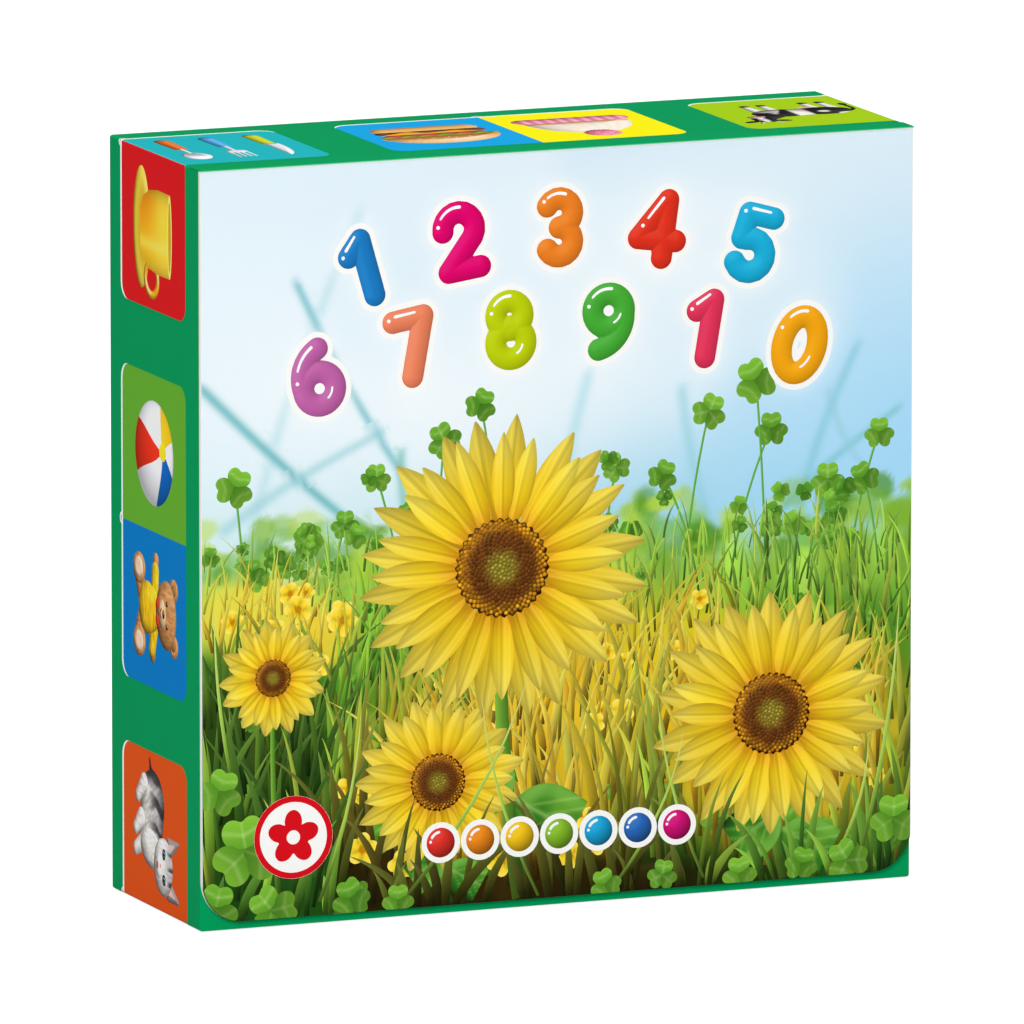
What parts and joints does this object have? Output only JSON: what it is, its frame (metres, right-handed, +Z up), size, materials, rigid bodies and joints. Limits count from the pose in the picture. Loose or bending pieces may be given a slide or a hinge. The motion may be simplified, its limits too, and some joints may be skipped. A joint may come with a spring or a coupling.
{
  "type": "boxed board book set",
  "caption": "Square card box with a hinged front flap, filled with thick board books and printed with open picture pages round its sides.",
  "frame": {"origin": "middle of the base, in the middle of the whole box's footprint", "axes": "+Z up, +X to the right of someone facing the flap, +Y to the back; the flap faces -Y"},
  "size_m": [0.137, 0.045, 0.137],
  "materials": {
    "apple_book_cover": "gloss laminated print",
    "leaf_board": "cut edges of thick leaf board",
    "ball_book_cover": "gloss laminated print",
    "boat_book_cover": "gloss laminated print",
    "ink_black": "gloss laminated print",
    "ink_blue": "gloss laminated print",
    "ink_brown": "gloss laminated print",
    "ink_leaf_green": "gloss laminated print",
    "ink_orange": "gloss laminated print",
    "ink_red": "gloss laminated print",
    "ink_white": "gloss laminated print",
    "ink_yellow": "gloss laminated print",
    "car_book_cover": "gloss laminated print",
    "cup_book_cover": "gloss laminated print",
    "fish_book_cover": "gloss laminated print",
    "white_card": "cut edge",
    "white_paper": "uncoated",
    "steel": "bright",
    "ink_far_grass": "gloss laminated print",
    "ink_gold": "gloss laminated print",
    "ink_lime": "gloss laminated print",
    "ink_magenta": "gloss laminated print",
    "ink_near_grass": "gloss laminated print",
    "ink_purple": "gloss laminated print",
    "ink_sky": "gloss laminated print",
    "ink_sky_blue": "gloss laminated print",
    "green_paper": "gloss laminated print",
    "house_book_cover": "gloss laminated print",
    "magnet": "plated",
    "ink_grey": "gloss laminated print",
    "ink_pink": "gloss laminated print",
    "ink_tan": "gloss laminated print",
    "ink_teal": "gloss laminated print",
    "sun_book_cover": "gloss laminated print",
    "green_card": "gloss laminated print"
  },
  "bodies": {
    "box": {"apple_book_cover": "apple_book_cover", "apple_book_pages": "leaf_board", "ball_book_cover": "ball_book_cover", "ball_book_pages": "leaf_board", "boat_book_cover": "boat_book_cover", "boat_book_pages": "leaf_board", "book_print_black": "ink_black", "book_print_blue": "ink_blue", "book_print_brown": "ink_brown", "book_print_leaf_green": "ink_leaf_green", "book_print_orange": "ink_orange", "book_print_red": "ink_red", "book_print_white": "ink_white", "book_print_yellow": "ink_yellow", "car_book_cover": "car_book_cover", "car_book_pages": "leaf_board", "cup_book_cover": "cup_book_cover", "cup_book_pages": "leaf_board", "fish_book_cover": "fish_book_cover", "fish_book_pages": "leaf_board", "hinge_paper": "green_paper", "house_book_cover": "house_book_cover", "house_book_pages": "leaf_board", "lip_magnets": "magnet", "side_print_black": "ink_black", "side_print_blue": "ink_blue", "side_print_brown": "ink_brown", "side_print_grey": "ink_grey", "side_print_leaf_green": "ink_leaf_green", "side_print_lime": "ink_lime", "side_print_orange": "ink_orange", "side_print_pink": "ink_pink", "side_print_red": "ink_red", "side_print_sky_blue": "ink_sky_blue", "side_print_tan": "ink_tan", "side_print_teal": "ink_teal", "side_print_white": "ink_white", "side_print_yellow": "ink_yellow", "sun_book_cover": "sun_book_cover", "sun_book_pages": "leaf_board", "tray": "green_card", "tray_liner": "white_paper"},
    "flap": {"flap_board": "white_card", "flap_liner": "white_paper", "flap_steel_discs": "steel", "front_print_blue": "ink_blue", "front_print_brown": "ink_brown", "front_print_far_grass": "ink_far_grass", "front_print_gold": "ink_gold", "front_print_lime": "ink_lime", "front_print_magenta": "ink_magenta", "front_print_near_grass": "ink_near_grass", "front_print_orange": "ink_orange", "front_print_purple": "ink_purple", "front_print_red": "ink_red", "front_print_sky": "ink_sky", "front_print_sky_blue": "ink_sky_blue", "front_print_white": "ink_white", "front_print_yellow": "ink_yellow"}
  },
  "joints": [
    {"name": "flap_hinge", "type": "hinge", "parent": "box", "child": "flap", "pos_m": [0, -0.0225, 0.137], "axis": [-1, 0, 0], "range_deg": [0, 265]}
  ]
}
